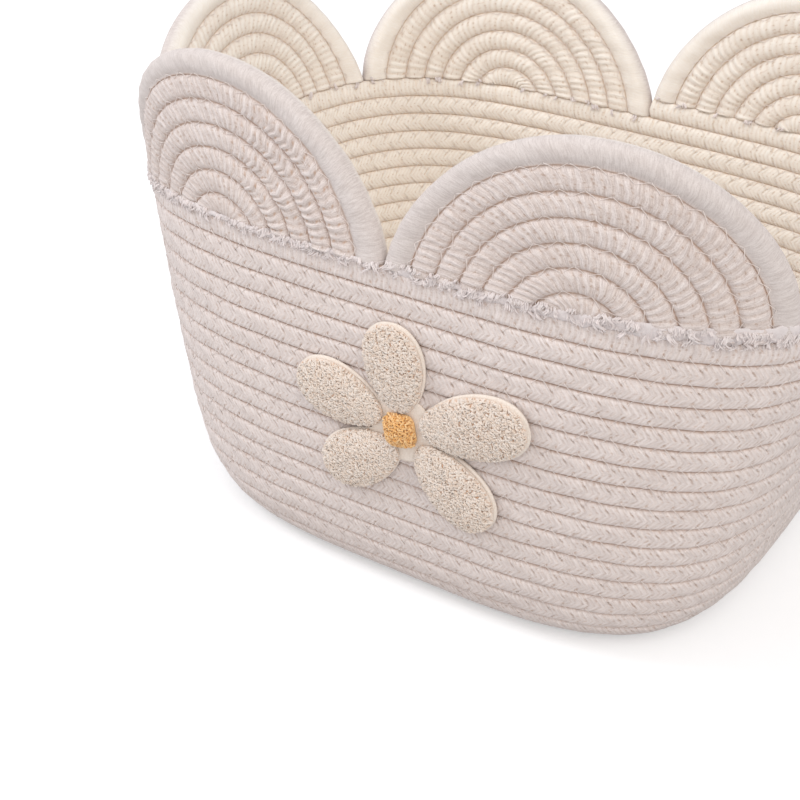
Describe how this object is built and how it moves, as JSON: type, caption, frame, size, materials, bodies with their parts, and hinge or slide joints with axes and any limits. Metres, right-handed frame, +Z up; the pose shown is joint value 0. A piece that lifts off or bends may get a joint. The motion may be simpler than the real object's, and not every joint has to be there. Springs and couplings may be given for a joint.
{
  "type": "rope basket",
  "caption": "Open rounded-rectangular basket of coiled, sewn cotton rope with a scalloped rim of half-round rope coils and a looped-pile flower on its front wall.",
  "frame": {"origin": "on the floor under the straight first length of the rope, in the middle of the basket's base", "axes": "+Z up; -Y towards the front, which carries the flower; +X to the right as seen from the front, along the basket's long side"},
  "size_m": [0.3308, 0.255, 0.2267],
  "materials": {
    "cotton_rope": "matt braided cotton, off-white",
    "scallop_rim_rope": "matt cotton with fine fibres, off-white",
    "flower_backing_cloth": "matt woven cloth, cream",
    "cream_loop_pile": "looped pile, cream",
    "yellow_loop_pile": "looped pile, yellow-orange"
  },
  "bodies": {
    "root": {"base_coil": "cotton_rope", "base_core": "cotton_rope", "wall_coil": "cotton_rope", "scallop_1_arc_1": "cotton_rope", "scallop_1_arc_2": "cotton_rope", "scallop_1_arc_3": "cotton_rope", "scallop_1_arc_4": "cotton_rope", "scallop_1_arc_5": "cotton_rope", "scallop_1_arc_6": "cotton_rope", "scallop_1_rim_rope": "scallop_rim_rope", "scallop_2_arc_1": "cotton_rope", "scallop_2_arc_2": "cotton_rope", "scallop_2_arc_3": "cotton_rope", "scallop_2_arc_4": "cotton_rope", "scallop_2_arc_5": "cotton_rope", "scallop_2_arc_6": "cotton_rope", "scallop_2_rim_rope": "scallop_rim_rope", "scallop_3_arc_1": "cotton_rope", "scallop_3_arc_2": "cotton_rope", "scallop_3_arc_3": "cotton_rope", "scallop_3_arc_4": "cotton_rope", "scallop_3_arc_5": "cotton_rope", "scallop_3_arc_6": "cotton_rope", "scallop_3_rim_rope": "scallop_rim_rope", "scallop_4_arc_1": "cotton_rope", "scallop_4_arc_2": "cotton_rope", "scallop_4_arc_3": "cotton_rope", "scallop_4_arc_4": "cotton_rope", "scallop_4_arc_5": "cotton_rope", "scallop_4_arc_6": "cotton_rope", "scallop_4_rim_rope": "scallop_rim_rope", "scallop_5_arc_1": "cotton_rope", "scallop_5_arc_2": "cotton_rope", "scallop_5_arc_3": "cotton_rope", "scallop_5_arc_4": "cotton_rope", "scallop_5_arc_5": "cotton_rope", "scallop_5_arc_6": "cotton_rope", "scallop_5_rim_rope": "scallop_rim_rope", "scallop_6_arc_1": "cotton_rope", "scallop_6_arc_2": "cotton_rope", "scallop_6_arc_3": "cotton_rope", "scallop_6_arc_4": "cotton_rope", "scallop_6_arc_5": "cotton_rope", "scallop_6_arc_6": "cotton_rope", "scallop_6_rim_rope": "scallop_rim_rope", "flower_backing": "flower_backing_cloth", "petal_right": "cream_loop_pile", "petal_top": "cream_loop_pile", "petal_left": "cream_loop_pile", "petal_lower_left": "cream_loop_pile", "petal_lower_right": "cream_loop_pile", "flower_centre": "yellow_loop_pile"}
  },
  "joints": []
}
